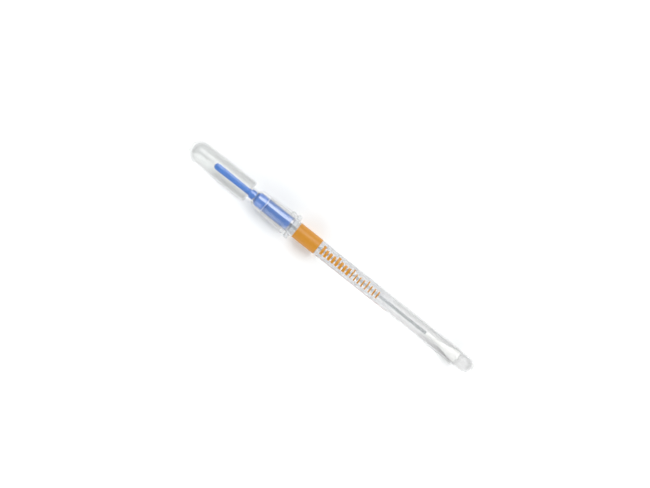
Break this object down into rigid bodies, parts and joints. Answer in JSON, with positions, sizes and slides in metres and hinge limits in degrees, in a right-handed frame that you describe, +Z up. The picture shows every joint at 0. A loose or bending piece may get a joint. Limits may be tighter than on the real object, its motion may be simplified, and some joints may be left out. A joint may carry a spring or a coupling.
{
  "type": "specimen swab tube",
  "caption": "Surface sampling swab in a clear flanged tube, with a liquid-filled squeeze bulb, a break-off valve, a fibre bud and a wrapped label.",
  "frame": {"origin": "middle of the bounding box in plan, on the flat surface that the part lies on", "axes": "+X runs along the tube from the bulb to the tip, +Z is up. The tube lies on its flange and its tip, so its own axis points 1.25 degrees below +X"},
  "size_m": [0.165, 0.0124, 0.0131],
  "materials": {
    "tube_clear": "gloss",
    "label_film": "satin",
    "bulb_natural": "satin",
    "valve_blue": "satin",
    "shaft_natural": "satin",
    "bud_fibre": "matte",
    "reagent_liquid": "gloss"
  },
  "bodies": {
    "tube": {"tube": "tube_clear", "label": "label_film"},
    "swab": {"collar": "bulb_natural", "valve_body": "valve_blue", "shaft": "shaft_natural", "bud": "bud_fibre"},
    "bulb": {"bulb": "bulb_natural", "nib": "valve_blue", "reagent": "reagent_liquid"}
  },
  "joints": [
    {"name": "swab_pull", "type": "slide", "parent": "tube", "child": "swab", "axis": [-0.9998, 0, 0.0218], "range_m": [0, 0.125]},
    {"name": "bulb_bend", "type": "hinge", "parent": "swab", "child": "bulb", "pos_m": [-0.04734, 0, 0.0068], "axis": [0.0218, 0, 0.9998], "range_deg": [-35, 35], "stiffness_Nm_per_rad": 0.03}
  ]
}
